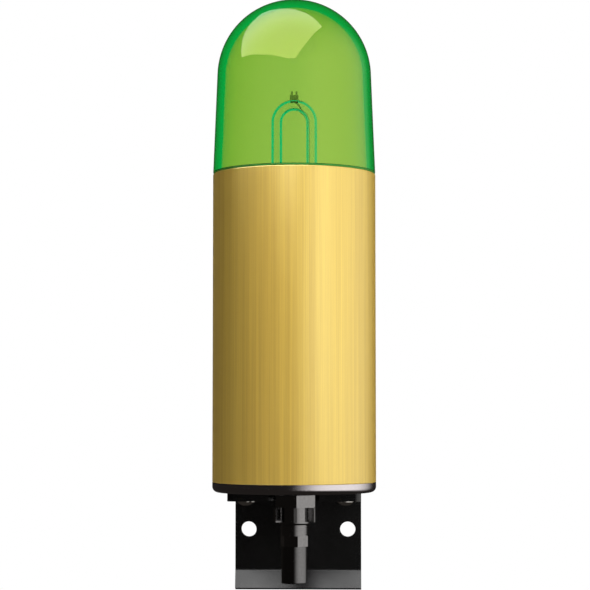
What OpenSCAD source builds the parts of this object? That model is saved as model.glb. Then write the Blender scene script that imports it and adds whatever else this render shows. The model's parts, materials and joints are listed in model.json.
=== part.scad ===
// Signal flash light on an angle bracket: a clear green dome over a U-shaped flash tube,
// a gold tube housing, a black base cap, a cable gland with a short lead, and the
// electronics that the housing holds.
// Millimetres. Origin: centre of the two wall holes, on the wall face of the bracket.
// X runs along the wall to the right, Y into the wall, Z up.

/* [Housing tube] */
// Outer diameter of the housing tube
tube_d = 70; // [66:1:84]
// Length of the housing tube
tube_len = 132; // [128:1:170]
// Wall of the housing tube
tube_wall = 3.5; // [3:0.25:4]
// Wall of the tube where it is bored out for the lens collar
rim_wall = 2.5; // [2:0.25:2.75]

/* [Dome] */
// Wall of the dome
dome_wall = 3.5; // [2:0.1:4]
// How much the dome narrows from its foot to its round top, on the radius
dome_taper = 1.75; // [1:0.25:5]
// Height of the centre of the round top above the dome's foot
dome_centre_h = 41.9; // [36:0.1:70]
// Thickness of the step that joins the dome's foot to its neck, inside the tube's rim
dome_step_t = 1.6; // [1:0.1:2.4]
// Length of the threaded neck under the dome
neck_len = 11.6; // [10:0.1:12]
// Wall of the threaded neck
neck_wall = 3; // [2.5:0.1:4]
// Thickness of the flat gasket between the dome and the tube
gasket_t = 0.8; // [0.5:0.1:1.5]
// Cord diameter of the O-ring on the dome's neck, as it sits squeezed
neck_oring_d = 1.4; // [1:0.1:1.6]

/* [Lens collar] */
// Height of the collar that the dome screws into
collar_h = 17; // [16:0.5:20]
// Wall of the collar round the dome's neck
collar_wall = 2.35; // [2:0.05:3]
// Thickness of the collar's inner flange
collar_flange_t = 4; // [3:0.5:5]
// Width of the collar's inner flange, inwards from the collar's outside
collar_flange_w = 11.6; // [11.5:0.1:13]

/* [Base cap] */
// Thickness of the part of the cap that shows under the tube
cap_t = 4.2; // [3:0.1:7]
// Rounding of the cap's lower edge
cap_round = 2.4; // [0.5:0.1:2.8]
// Height of the ring that stands up inside the tube
cap_ring_h = 8; // [7:0.5:12]
// Width of that ring
cap_ring_w = 9; // [8:0.5:11]
// Cord diameter of the cap's O-ring, as it sits squeezed
cap_oring_d = 1.4; // [1:0.1:1.8]

/* [Angle bracket] */
// Width of the bracket
bracket_w = 57.2; // [54:0.1:66]
// Distance from the lamp's axis to the wall
axis_to_wall = 56.5; // [46:0.5:80]
// How far the top flange reaches past the lamp's axis
flange_past_axis = 3.5; // [2:0.5:6]
// Thickness of the bracket
bracket_t = 4; // [3:0.25:5]
// Inside radius of the bracket's upper bend
bend_r = 2; // [1:0.25:4]
// Inside radius of the bend above the lower lip
lip_bend_r = 5; // [2:0.5:8]
// Height from the wall holes up to the top of the flange
hole_drop = 19.2; // [18:0.1:30]
// Height from the bracket's lower bend up to the wall holes
hole_to_bend = 17.5; // [12:0.1:30]
// Slant of the lower lip from upright
lip_angle = 15; // [8:1:60]
// Length of the lower lip
lip_len = 7.8; // [6:0.1:14]
// Diameter of the wall holes
wall_hole_d = 7; // [5:0.1:9]
// Distance between the wall holes
wall_hole_spacing = 45; // [36:0.5:46]
// Rounding of the flange's front corners
corner_r = 2.5; // [1:0.5:5]
// Turn of each bracket screw behind the lamp's side, seen from the lamp's axis
bracket_screw_angle = 39; // [35:1:55]
// Thread diameter of the bracket screws
bracket_screw_d = 4; // [3:0.5:4]
// Head diameter of the bracket screws
bracket_head_d = 8; // [7:0.1:8.5]
// Head height of the bracket screws
bracket_head_h = 2.4; // [1.5:0.1:3]
// Thickness of the washers under those heads
bracket_washer_t = 0.6; // [0.4:0.1:1]

/* [Cable gland and lead] */
// Thread diameter of the gland where it passes through the cap
gland_d = 15.2; // [14:0.1:15.6]
// Thickness of the seal under the gland
gland_seal_t = 1.3; // [0.8:0.1:2]
// Width across the flats of the gland body and of the gland nut's ribs
gland_af = 16.8; // [16.5:0.1:19]
// Height of the gland body's hexagon
gland_hex_h = 5.1; // [4:0.1:8]
// Turn of the gland body as it was tightened, seen from below
gland_turn = 8; // [0:1:59]
// Diameter of the thread of the gland nut
gland_nut_thread_d = 12.4; // [12:0.1:13]
// Diameter of the gland nut's head between its ribs
gland_nut_d = 13.2; // [12.8:0.1:16]
// Height of the gland nut's head
gland_nut_h = 7.5; // [6:0.1:10]
// Width of a rib on the gland nut
rib_w = 1.3; // [0.8:0.1:2]
// Turn of the gland nut as it was tightened, seen from below
nut_turn = 5; // [0:1:59]
// Diameter of the ringed neck under the gland nut
tail_d = 11.8; // [11.4:0.1:12.4]
// Height of that neck
tail_h = 4.6; // [4:0.1:6]
// Thread diameter of the tail inside the clamp nut
tail_thread_d = 9; // [8.8:0.1:9.3]
// Width across the flats of the clamp nut
clamp_af = 10.4; // [10.3:0.1:13]
// Height of the clamp nut
clamp_h = 4.5; // [4:0.1:6]
// Turn of the clamp nut as it was tightened, seen from below
clamp_turn = 17; // [0:1:59]
// Outer diameter of the rubber sleeve on the lead
sleeve_d = 11; // [9:0.1:12]
// Length of the sleeve below the clamp nut
sleeve_len = 15.6; // [10:0.1:40]
// Diameter of the lead
lead_d = 7.4; // [7.2:0.1:7.6]
// Diameter of each insulated core of the lead
core_d = 2.7; // [2:0.1:2.7]

/* [Flash tube] */
// Diameter of the flash tube's glass
flash_d = 4.8; // [4:0.1:5.4]
// Wall of the glass
flash_wall = 1.1; // [0.6:0.05:1.2]
// Distance between the middles of the two legs
leg_spacing = 15.1; // [13:0.1:16]
// Height of the top of the bend above the tube's rim
flash_top = 32.6; // [26:0.1:36]
// Diameter of the flash tube's plug-in base
plug_d = 26; // [24:0.5:28]
// Height of the plug-in base
plug_h = 10; // [8:0.5:12]
// How far the top of the base stands above the tube's rim
plug_rise = 1; // [-1:0.25:2]
// Diameter of the contact pins
pin_d = 2; // [1.5:0.1:2.5]
// Length of the contact pins below the base
pin_len = 7; // [5:0.5:8]
// Diameter of the wire that fires the tube
trigger_d = 0.8; // [0.5:0.1:1]

/* [Inside the housing] */
// Gap between the reflector and the dome's neck
reflector_gap = 0.8; // [0.5:0.1:1.5]
// Sheet thickness of the reflector
reflector_t = 1.5; // [1:0.1:2]
// Depth of the reflector's top below the tube's rim
reflector_drop = 2.5; // [1:0.1:3]
// Length of the spacers between the collar and the upper board
spacer_h = 6; // [5:0.5:8]
// Diameter of the spacers
spacer_d = 5; // [4.5:0.1:5.2]
// Thickness of the circuit boards
board_t = 1.6; // [1:0.1:2]
// Gap between the upper board and the tube's bore
upper_board_gap = 1.5; // [1:0.1:2]
// Width of the main board
main_board_w = 46; // [44:0.5:46]
// Distance of the main board's front behind the lamp's axis
main_board_y = 6; // [5.5:0.1:7]
// Gap between the main board's foot and the cap ring's top
main_board_foot_gap = 3; // [2:0.5:4]
// Gap between the main board's head and the upper board
main_board_head_gap = 3; // [2:0.5:6]
// Diameter of the tie rods
rod_d = 6; // [5:0.5:6]
// Gap between the tie rods and the tube's bore
rod_gap = 1.5; // [1.2:0.1:1.8]
// Diameter of the storage capacitor
store_cap_d = 20; // [16:1:20]
// Length of the storage capacitor
store_cap_h = 36; // [25:1:40]
// Width of the transformer
transformer_w = 17; // [15:0.5:18]
// Depth of the transformer
transformer_depth = 15; // [12:0.5:16]
// Height of the transformer
transformer_h = 20; // [16:0.5:24]
// Width of the terminal block
terminal_w = 16.5; // [14:0.5:20]
// Depth of the terminal block
terminal_depth = 9; // [8:0.5:10]
// Height of the terminal block
terminal_h = 11; // [9:0.5:14]
// Width of the heat sink
heat_sink_w = 30; // [24:1:34]
// Height of the heat sink
heat_sink_h = 28; // [22:1:32]

/* [Hidden] */
$fn = 96;

// Clearances
fit_gap = 0.05;     // parts that sit in each other and don't move
thread_gap = 0.08;  // plain sleeves that stand for screw threads
face_gap = 0.05;    // flat faces of pieces that part when the light is opened
loose_gap = 0.5;    // parts that pass each other freely
wire_gap = 0.1;     // wires and pins in their holes
squeeze_gap = 0.02; // squeezed rubber in its groove
over = 1;           // how far a cutter runs past what it cuts

// Radii of the housing, from the outside in
tube_r = tube_d / 2;
bore_r = tube_r - tube_wall;
seat_r = tube_r - rim_wall;
collar_r = seat_r - fit_gap;
collar_bore_r = collar_r - collar_wall;
neck_r = collar_bore_r - thread_gap;
neck_bore_r = neck_r - neck_wall;
collar_hole_r = collar_r - collar_flange_w;

// Heights along the lamp, from the tube's lower edge
collar_bottom = tube_len - collar_h;
collar_floor = collar_bottom + collar_flange_t;
gasket_top = tube_len + gasket_t;
dome_foot = gasket_top + face_gap;
dome_spigot_r = seat_r - wire_gap;
dome_spigot_bottom = dome_foot - dome_step_t;
collar_top = dome_spigot_bottom - face_gap;
dome_cap_r = tube_r - dome_taper;
upper_board_top = collar_bottom - spacer_h;
upper_board_bottom = upper_board_top - board_t;
plug_top = tube_len + plug_rise;
plug_bottom = plug_top - plug_h;
socket_top = plug_bottom - face_gap;
main_board_bottom = cap_ring_h + main_board_foot_gap;
main_board_top = upper_board_bottom - main_board_head_gap;
flange_top = -cap_t;
flange_bottom = flange_top - bracket_t;

// The O-ring on the dome's neck sits in a groove a little wider than its cord
neck_groove_w = neck_oring_d + 0.5;
neck_groove_z = dome_foot - 3.2;
neck_groove_r = collar_bore_r - neck_oring_d - squeeze_gap;

// Base cap
cap_spigot_r = bore_r - fit_gap;
cap_recess_r = cap_spigot_r - cap_ring_w;
cap_groove_w = cap_oring_d + 0.6;
cap_groove_z = 4;
cap_groove_r = bore_r - cap_oring_d - squeeze_gap;

// Bracket screws reach into the cap's ring, inside its O-ring groove
bracket_screw_r = bracket_screw_d / 2;
bracket_screw_ring = cap_groove_r - bracket_screw_r - 0.4;
bracket_screw_len = 8;
bracket_screw_angles = [bracket_screw_angle, 180 - bracket_screw_angle];
cross_w = 0.8;
cross_depth = 1.3;
key_w = 2;

// Reflector stands on three posts on the collar, over the spacers
reflector_r = neck_bore_r - reflector_gap;
reflector_top = tube_len - reflector_drop;
reflector_bottom = reflector_top - reflector_t;
post_r = spacer_d / 2;
spacer_angles = [30, 150, 270];
spacer_ring = reflector_r - post_r;
spacer_screw_r = 1.25;
spacer_screw_head_r = 2.25;
spacer_screw_head_h = 2;
spacer_screw_bite = 4;
reflector_lip_w = 1;
reflector_lip_h = 2;

// Tie rods stand at the back and at the two front sides
rod_angles = [90, 210, 330];
rod_r = rod_d / 2;
rod_ring = bore_r - rod_r - rod_gap;
rod_stud_r = 1.5;
rod_stud_len = collar_flange_t - 0.5;
rod_screw_r = 1.5;
rod_screw_head_r = 3;
rod_screw_head_h = 1.5;
rod_screw_head_rim = 0.2;
rod_screw_bite = 8;
rod_socket_depth = 1.2;

// Heights down the gland, from the cap's underside
gland_seal_bottom = flange_top - gland_seal_t;
gland_hex_bottom = gland_seal_bottom - gland_hex_h;
gland_nut_top = gland_hex_bottom - face_gap;
gland_nut_bottom = gland_nut_top - gland_nut_h;
tail_bottom = gland_nut_bottom - tail_h;
clamp_top = tail_bottom - face_gap;
clamp_bottom = clamp_top - clamp_h;
sleeve_top = clamp_bottom - face_gap;
sleeve_bottom = sleeve_top - sleeve_len;
gland_r = gland_d / 2;
gland_stem_top = 7;
gland_bore_r = lead_d / 2 + 0.4;
gland_pocket_r = gland_nut_thread_d / 2 + thread_gap;
gland_pocket_top = flange_top + 2.6;
seal_insert_h = 4.4;
seal_insert_bottom = gland_pocket_top - face_gap - seal_insert_h;
slip_ring_t = 0.7;
slip_ring_top = seal_insert_bottom - face_gap;
nut_thread_top = slip_ring_top - slip_ring_t - face_gap;
locknut_af = 20;
locknut_h = 3.5;
rib_drop = 0.2;
rib_len = gland_nut_h - 1.5;
rib_angles = [0:60:300];
nut_round = 1;
ring_count = 5;
ring_share = 0.55;
ring_depth = 0.35;
clamp_lip = 0.8;
bush_h = 1.2;
tail_end = clamp_bottom + clamp_lip + bush_h + 2 * face_gap;

// Lead and its three cores
lead_end = sleeve_bottom + 0.5;
lead_inner_top = 9;
sleeve_round = 0.5;
live_angle = 150;
neutral_angle = 30;
earth_angle = -90;
core_bite = 7;
core_r = core_d / 2;
core_ring_r = core_d / 2 / cos(30) + 0.15;

// Flash tube
flash_r = flash_d / 2;
leg_x = leg_spacing / 2;
bend_z = tube_len + flash_top - flash_r - leg_x;
leg_bottom = plug_bottom + 3;
glass_seal_h = 3;
electrode_r = 0.35;
electrode_tip_h = 7;
electrode_tip_r = 1;
trigger_r = trigger_d / 2;

// Clip that sits on top of the glass, and the wire that leads from it to the third pin
clip_w = 3.7;
clip_depth = 3;
clip_top = bend_z + leg_x + flash_r + 1.8;
prong_h = 1.7;
prong_t = 0.8;
prong_x = 1;
wire_ring = flash_r + wire_gap + trigger_r;
wire_in = leg_x - wire_ring * cos(45);
wire_back = wire_ring * sin(45);
wire_turn_z = plug_top + 4;

// Plug-in base, its pins and the socket
plug_r = plug_d / 2;
pin_r = pin_d / 2;
pin_top = plug_bottom + 2.5;
pin_bottom = plug_bottom - pin_len;
pin_places = [[-leg_x, 0], [leg_x, 0], [wire_in, wire_back + 3.2]];
socket_r = plug_r + loose_gap;
contact_wall = 0.7;
contact_r = pin_r + fit_gap + contact_wall;
contact_bottom = upper_board_top + 0.2;
contact_floor_t = 2;
tail_r = 0.5;
solder_len = 1.5;

// Main board and what stands on it
board_front = main_board_y;
board_back = board_front + board_t;
board_screw_r = 1.25;
board_screw_head_r = 2.25;
board_screw_head_h = 1.6;
board_screw_end = 1;
board_bracket_x = 12;
board_bracket_w = 8;
board_bracket_t = 1.2;
board_bracket_reach = 9;
bracket_hole_y = board_back + board_bracket_reach - board_bracket_w / 2;
bracket_hole_z = main_board_top - 4;
board_bracket_bottom = bracket_hole_z - 4.6;
guide_x = main_board_w / 2 - 1.5;
guide_w = 4.5;
guide_depth = 8;
guide_bite = 3;
terminal_bottom = main_board_bottom + 8;
terminal_pole_x = terminal_w / 4;
terminal_y = board_front - terminal_depth / 2;
terminal_screw_z = terminal_bottom + 6;
terminal_screw_r = 1.5;
terminal_screw_sink = 0.4;
terminal_hole_h = 8;
slot_w = 0.6;
slot_depth = 0.8;
fuse_r = 2.5;
fuse_len = 20;
fuse_cap_len = 5;
fuse_cap_t = 0.3;
fuse_z = terminal_bottom + terminal_h + 8;
fuse_y = board_front - fuse_r - 2.5;
fuse_clip_x = fuse_len / 2 - fuse_cap_len / 2;
fuse_clip_w = 4;
fuse_clip_wall = 0.6;
fuse_clip_mouth = 4;
fuse_clip_open = 1;
parts_bottom = fuse_z + fuse_r + 7.5;
transformer_x = -main_board_w / 4;
core_leg = 2;
core_mid_w = 5;
core_bar = 3;
core_inset = 3;
core_window = (transformer_w - 2 * core_leg - core_mid_w) / 2;
store_cap_r = store_cap_d / 2;
tie_t = 1;
tie_h = 4;
store_cap_y = board_front - store_cap_r - tie_t - wire_gap;
cap_lead_r = 0.4;
cap_lead_len = 4;
cap_lead_spacing = 7.5;

// The capacitor stands beside the front right tie rod, clear of it
cap_to_rod = store_cap_r + tie_t + rod_r + loose_gap;
cap_to_rod_y = rod_ring * sin(rod_angles[2]) - store_cap_y;
store_cap_x = rod_ring * cos(rod_angles[2]) - sqrt(pow(cap_to_rod, 2) - pow(cap_to_rod_y, 2));

// Rectifier, transistor on its heat sink, resistors and links
rectifier_w = 15;
rectifier_t = 6;
rectifier_h = 11;
rectifier_top = bracket_hole_z - board_screw_head_r - 1;
dimple_r = 1.5;
dimple_depth = 0.5;
heat_sink_bottom = parts_bottom + 10;
heat_sink_base = 2;
heat_sink_gap = 6;
heat_sink_foot_w = 2;
heat_sink_foot_h = 8;
fin_h = 6;
fin_t = 1.2;
fin_spacing = (heat_sink_w - fin_t) / 6;
transistor_x = fin_spacing / 2;
transistor_bottom = heat_sink_bottom + 5;
transistor_w = 10;
transistor_h = 9;
transistor_lift = 1.5;
tab_h = 16;
tab_t_metal = 1.2;
tab_hole_z = transistor_bottom + 13;
tab_hole_r = 1.5;
tab_screw_head_r = 2.75;
tab_screw_head_h = 2;
leg_t = 0.6;
leg_w = 0.8;
leg_pitch = 2.5;
leg_len = 4;
leg_front = board_back + transistor_lift + 1;
resistor_r = 1.5;
resistor_len = 9;
resistor_x = 13 - main_board_w / 2;
resistor_lift = 2;
resistor_lead_r = 0.35;
resistor_lead_len = 2;
resistor_count = 4;
resistor_pitch = 6;
resistor_bottom = terminal_bottom + 8;
link_r = 0.6;
link_bow = 6;
link_places = [-5, 0, 5];

// Trigger coil and its capacitor under the upper board
coil_r = 5;
coil_wound_r = 4.2;
coil_h = 13;
coil_cheek_t = 1.2;
coil_x = -11;
coil_y = -14;
film_w = 12;
film_t = 6;
film_h = 10;
film_x = 10;
film_y = -15;

// Earth screw on the cap's floor
earth_x = -14;
earth_y = -8;
earth_screw_r = 1.5;
earth_screw_len = 4.3;
earth_head_r = 2.75;
earth_head_h = 2;
tag_t = 0.8;
tag_r = 3;
barrel_wall = 0.55;
barrel_r = core_r + fit_gap + barrel_wall;
barrel_h = 7;
barrel_floor_t = 1;
barrel_y = earth_y + earth_head_r + barrel_r + 0.3;

// Places its children on the lamp's axis, with Z from the tube's lower edge
module on_lamp() translate([0, -axis_to_wall, hole_drop + cap_t]) children();

// Hollow cylinder between two heights
module ring(outer_r, inner_r, bottom, top) {
    difference() {
        translate([0, 0, bottom]) cylinder(r = outer_r, h = top - bottom);
        translate([0, 0, bottom - over]) cylinder(r = inner_r, h = top - bottom + 2 * over);
    }
}

// Solid cylinder between two heights
module rod(r, bottom, top) translate([0, 0, bottom]) cylinder(r = r, h = top - bottom);

// Hexagonal prism with a corner to the front
module hex(af, bottom, top, turn = 0)
    translate([0, 0, bottom]) rotate(30 + turn)
        cylinder(r = af / 2 / cos(30), h = top - bottom, $fn = 6);

// Block centred on X, from a front Y to a back Y and between two heights
module slab(width, front, back, bottom, top)
    translate([-width / 2, front, bottom]) cube([width, back - front, top - bottom]);

// Copies its children to each angle round the axis, at a radius
module around(angles, radius)
    for (a = angles) rotate(a) translate([radius, 0, 0]) rotate(-a) children();

// O-ring: a round cord bent to a circle
module o_ring(middle_r, cord_r, z)
    translate([0, 0, z]) rotate_extrude() translate([middle_r, 0]) circle(r = cord_r, $fn = 32);

// Cylinder along Y between two depths
module peg(r, front, back)
    translate([0, back, 0]) rotate([90, 0, 0]) cylinder(r = r, h = back - front);

// Points on a curve led by four control points
function curve(a, b, c, d, steps = 10) = [
    for (i = [0:steps])
        let (t = i / steps, s = 1 - t)
            s * s * s * a + 3 * s * s * t * b + 3 * s * t * t * c + t * t * t * d
];
function unit(v) = v / norm(v);
function heading(p, i) = unit(p[min(i + 1, len(p) - 1)] - p[max(i - 1, 0)]);
function ring_points(p, i, r, sides) =
    let (t = heading(p, i), u = unit(cross(t, [0.3, 1, 0.2])), v = cross(t, u))
        [for (k = [0:sides - 1]) p[i] + r * (cos(360 * k / sides) * u + sin(360 * k / sides) * v)];

// Round wire along a list of points
module wire(p, r, sides = 8) {
    last = len(p) - 1;
    points = [for (i = [0:last]) each ring_points(p, i, r, sides)];
    walls = [
        for (i = [0:last - 1], k = [0:sides - 1])
            let (a = i * sides + k, b = i * sides + (k + 1) % sides)
                each [[a, a + sides, b + sides], [a, b + sides, b]]
    ];
    foot = [for (k = [1:sides - 2]) [0, k, k + 1]];
    head = [for (k = [1:sides - 2]) last * sides * [1, 1, 1] + [0, k + 1, k]];
    polyhedron(points, concat(walls, foot, head));
}

// ---- Dome and collar ----

// Half outline of the dome: a slightly conical wall that runs smoothly into a ball
module dome_outline(foot_r, ball_r, centre_h) {
    slope = acos(ball_r / norm([foot_r, centre_h])) - atan2(centre_h, foot_r);
    meet_r = ball_r * cos(slope);
    meet_z = centre_h + ball_r * sin(slope);
    polygon([[0, 0], [foot_r, 0], [meet_r, meet_z], [0, meet_z]]);
    intersection() {
        translate([0, centre_h]) circle(r = ball_r);
        translate([0, meet_z]) square([ball_r, ball_r]);
    }
}

module dome_lens() {
    color([0.25, 0.75, 0.25, 0.5]) on_lamp() difference() {
        union() {
            translate([0, 0, dome_foot])
                rotate_extrude() dome_outline(tube_r, dome_cap_r, dome_centre_h);
            rod(dome_spigot_r, dome_spigot_bottom, dome_foot + dome_wall);
            rod(neck_r, dome_foot - neck_len, dome_foot);
        }
        translate([0, 0, dome_foot])
            rotate_extrude() dome_outline(
                tube_r - dome_wall, dome_cap_r - dome_wall, dome_centre_h);
        rod(neck_bore_r, dome_foot - neck_len - over, dome_foot + over);
        ring(neck_r + over, neck_groove_r, neck_groove_z - neck_groove_w / 2,
            neck_groove_z + neck_groove_w / 2);
    }
}

module dome_gasket() {
    color([0.10, 0.45, 0.15]) on_lamp()
        ring(tube_r - 2 * wire_gap, seat_r + wire_gap, tube_len, gasket_top);
}

module dome_o_ring() {
    cord_r = (collar_bore_r - neck_groove_r - squeeze_gap) / 2;
    color([0.12, 0.12, 0.12]) on_lamp()
        o_ring((collar_bore_r + neck_groove_r) / 2, cord_r, neck_groove_z);
}

module lens_collar() {
    color([0.75, 0.75, 0.77]) on_lamp() difference() {
        rod(collar_r, collar_bottom, collar_top);
        rod(collar_bore_r, collar_floor, collar_top + over);
        rod(collar_hole_r, collar_bottom - over, collar_top + over);
        around(rod_angles, rod_ring)
            rod(rod_stud_r + fit_gap, collar_bottom - over, collar_floor + over);
        around(spacer_angles, spacer_ring)
            rod(spacer_screw_r + fit_gap, collar_bottom - over, collar_floor + over);
    }
}

// ---- Housing tube and base ----

module housing_tube() {
    color([0.86, 0.70, 0.32]) on_lamp() difference() {
        rod(tube_r, 0, tube_len);
        rod(bore_r, -over, tube_len + over);
        rod(seat_r, collar_bottom, tube_len + over);
    }
}

// Round disc with a rounded lower edge
module rounded_disc(r, bottom, top, edge_r) {
    translate([0, 0, bottom]) rotate_extrude() {
        square([r - edge_r, top - bottom]);
        translate([0, edge_r]) square([r, top - bottom - edge_r]);
        intersection() {
            translate([r - edge_r, edge_r]) circle(r = edge_r, $fn = 48);
            translate([r - edge_r, 0]) square(edge_r);
        }
    }
}

module base_cap() {
    color([0.09, 0.09, 0.10]) on_lamp() difference() {
        union() {
            rounded_disc(tube_r, flange_top, 0, cap_round);
            rod(cap_spigot_r, -over, cap_ring_h);
        }
        rod(cap_recess_r, 0, cap_ring_h + over);
        rod(gland_r + fit_gap, flange_top - over, over);
        ring(cap_spigot_r + over, cap_groove_r, cap_groove_z - cap_groove_w / 2,
            cap_groove_z + cap_groove_w / 2);
        around(rod_angles, rod_ring) {
            rod(rod_screw_r + fit_gap, flange_top - over, cap_ring_h + over);
            rod(rod_screw_head_r + fit_gap, flange_top - over, flange_top + rod_screw_head_rim);
            translate([0, 0, flange_top + rod_screw_head_rim])
                cylinder(r1 = rod_screw_head_r + fit_gap, r2 = rod_screw_r + fit_gap,
                    h = rod_screw_head_h);
        }
        around(bracket_screw_angles, bracket_screw_ring)
            rod(bracket_screw_r + fit_gap, flange_top - over, bracket_screw_len - cap_t + 1);
        translate([earth_x, earth_y, 0]) rod(earth_screw_r + fit_gap, -3, over);
    }
}

module base_o_ring() {
    cord_r = (bore_r - cap_groove_r - squeeze_gap) / 2;
    color([0.12, 0.12, 0.12]) on_lamp()
        o_ring((bore_r + cap_groove_r) / 2, cord_r, cap_groove_z);
}

module tie_rods() {
    color([0.78, 0.78, 0.80]) on_lamp() around(rod_angles, rod_ring) difference() {
        union() {
            rod(rod_r, cap_ring_h, collar_bottom);
            rod(rod_stud_r, collar_bottom - over, collar_bottom + rod_stud_len);
        }
        rod(rod_screw_r + fit_gap, cap_ring_h - over, cap_ring_h + rod_screw_bite + 1);
    }
}

// Countersunk screws with a hexagon socket
module tie_rod_screws() {
    color([0.72, 0.72, 0.74]) on_lamp() around(rod_angles, rod_ring) difference() {
        union() {
            rod(rod_screw_r, flange_top + rod_screw_head_h, cap_ring_h + rod_screw_bite);
            rod(rod_screw_head_r, flange_top, flange_top + rod_screw_head_rim);
            translate([0, 0, flange_top + rod_screw_head_rim])
                cylinder(r1 = rod_screw_head_r, r2 = rod_screw_r, h = rod_screw_head_h);
        }
        hex(key_w, flange_top - over, flange_top + rod_socket_depth);
    }
}

// ---- Angle bracket ----

// Points on an arc between two angles
function arc(centre, r, from, to, steps = 24) = [
    for (i = [0:steps])
        let (a = from + (to - from) * i / steps) centre + r * [cos(a), sin(a)]
];

// Side outline of the bracket, with Y to the right and Z up
module strip_outline(flange_front) {
    outer_r = bend_r + bracket_t;
    lip_outer_r = lip_bend_r + bracket_t;
    top = [-outer_r, hole_drop - outer_r];
    low = [-lip_outer_r, -hole_to_bend];
    lip = lip_len * [-sin(lip_angle), -cos(lip_angle)];
    slant = [cos(lip_angle), -sin(lip_angle)];
    polygon(concat(
        [[flange_front, hole_drop]],
        arc(top, outer_r, 90, 0),
        arc(low, lip_outer_r, 0, -lip_angle),
        [low + lip_outer_r * slant + lip, low + lip_bend_r * slant + lip],
        arc(low, lip_bend_r, -lip_angle, 0),
        arc(top, bend_r, 0, 90),
        [[flange_front, hole_drop - bracket_t]]));
}

module bracket() {
    flange_front = -axis_to_wall - flange_past_axis;
    color([0.05, 0.05, 0.055]) difference() {
        rotate([90, 0, 90]) linear_extrude(bracket_w, center = true) strip_outline(flange_front);
        for (side = [-1, 1]) {
            translate([side * wall_hole_spacing / 2, over, 0]) rotate([90, 0, 0])
                cylinder(d = wall_hole_d, h = bracket_t + 2 * over);
            translate([side * (bracket_w / 2 - corner_r), flange_front + corner_r, 0])
                corner_cut(side);
        }
        on_lamp() {
            rod(gland_notch_r, flange_bottom - over, flange_top + over);
            slab(2 * gland_notch_r, -axis_to_wall, 0, flange_bottom - over, flange_top + over);
            around(bracket_screw_angles, bracket_screw_ring)
                rod(bracket_screw_r + 0.25, flange_bottom - over, flange_top + over);
        }
    }
}
gland_notch_r = gland_af / 2 / cos(30) + 1;

// Takes a square corner off the flange and leaves it round
module corner_cut(side) {
    translate([0, 0, hole_drop - bracket_t - over]) difference() {
        translate([side > 0 ? 0 : -corner_r - over, -corner_r - over, 0])
            cube([corner_r + over, corner_r + over, bracket_t + 2 * over]);
        translate([0, 0, -over]) cylinder(r = corner_r, h = bracket_t + 4 * over);
    }
}

module at_bracket_screws()
    on_lamp() translate([0, 0, flange_bottom])
        around(bracket_screw_angles, bracket_screw_ring) children();

module bracket_washers() {
    color([0.75, 0.75, 0.77]) at_bracket_screws()
        ring(bracket_head_d / 2 + 0.5, bracket_screw_r + 0.2, -bracket_washer_t, 0);
}

// Pan-head screws with a cross recess
module bracket_screws() {
    head_r = bracket_head_d / 2;
    crown_r = head_r * 1.25;
    head_bottom = -bracket_washer_t - bracket_head_h;
    color([0.80, 0.80, 0.82]) at_bracket_screws() difference() {
        union() {
            rod(bracket_screw_r, -bracket_washer_t - 0.5, bracket_t + bracket_screw_len);
            intersection() {
                rod(head_r, head_bottom, -bracket_washer_t);
                translate([0, 0, head_bottom + crown_r]) sphere(r = crown_r);
            }
        }
        for (turn = [0, 90]) rotate(turn)
            slab(head_r, -cross_w / 2, cross_w / 2, head_bottom - over,
                head_bottom + cross_depth);
    }
}

// ---- Flash tube, reflector and socket ----

// Two upright legs and the half ring that joins them
module u_tube(r, bottom) {
    for (side = [-1, 1]) translate([side * leg_x, 0, 0]) rod(r, bottom, bend_z);
    translate([0, 0, bend_z]) rotate([90, 0, 0])
        rotate_extrude(angle = 180) translate([leg_x, 0]) circle(r = r, $fn = 48);
}

module flash_tube() {
    color([0.85, 0.95, 0.88, 0.6]) on_lamp() difference() {
        u_tube(flash_r, leg_bottom);
        u_tube(flash_r - flash_wall, leg_bottom + glass_seal_h);
        for (side = [-1, 1]) translate([side * leg_x, 0, 0])
            rod(electrode_r + wire_gap, leg_bottom - over, leg_bottom + glass_seal_h + over);
    }
}

module electrodes() {
    tip_bottom = leg_bottom + glass_seal_h + loose_gap;
    color([0.6, 0.6, 0.62]) on_lamp() for (side = [-1, 1]) translate([side * leg_x, 0, 0]) {
        rod(electrode_r, pin_top + face_gap, tip_bottom + over);
        rod(electrode_tip_r, tip_bottom, tip_bottom + electrode_tip_h);
    }
}

// Wire from behind the top of the glass, round to the inner side of the bend, down the leg
function trigger_path(steps = 18) = [
    for (i = [0:steps])
        let (
            a = 90 - 90 * i / steps,
            w = min(135, 25 + 110 * i / 6),
            reach = leg_x + wire_ring * cos(w)
        ) [reach * cos(a), wire_ring * sin(w), bend_z + reach * sin(a)]
];

// Saddle on top of the glass, with two prongs, and the wire down to its pin
module trigger_wire() {
    saddle_z = bend_z + leg_x;
    wire_foot = [pin_places[2][0], pin_places[2][1], pin_top + wire_gap];
    wire_turn = [wire_in, wire_back, wire_turn_z];
    wire_entry = [pin_places[2][0], pin_places[2][1], plug_top + trigger_r];
    color([0.70, 0.72, 0.70]) on_lamp() {
        difference() {
            union() {
                slab(clip_w, -clip_depth / 2, clip_depth / 2, saddle_z, clip_top);
                for (side = [-1, 1]) translate([side * prong_x, 0, 0])
                    slab(prong_t, -prong_t, prong_t, clip_top - over, clip_top + prong_h);
            }
            u_tube(flash_r + wire_gap, saddle_z - over);
        }
        wire(concat(trigger_path(),
            curve(wire_turn, wire_turn - [0, 0, 2], wire_entry + [0, 0, 2], wire_entry),
            [wire_foot]), trigger_r);
    }
}

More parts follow.
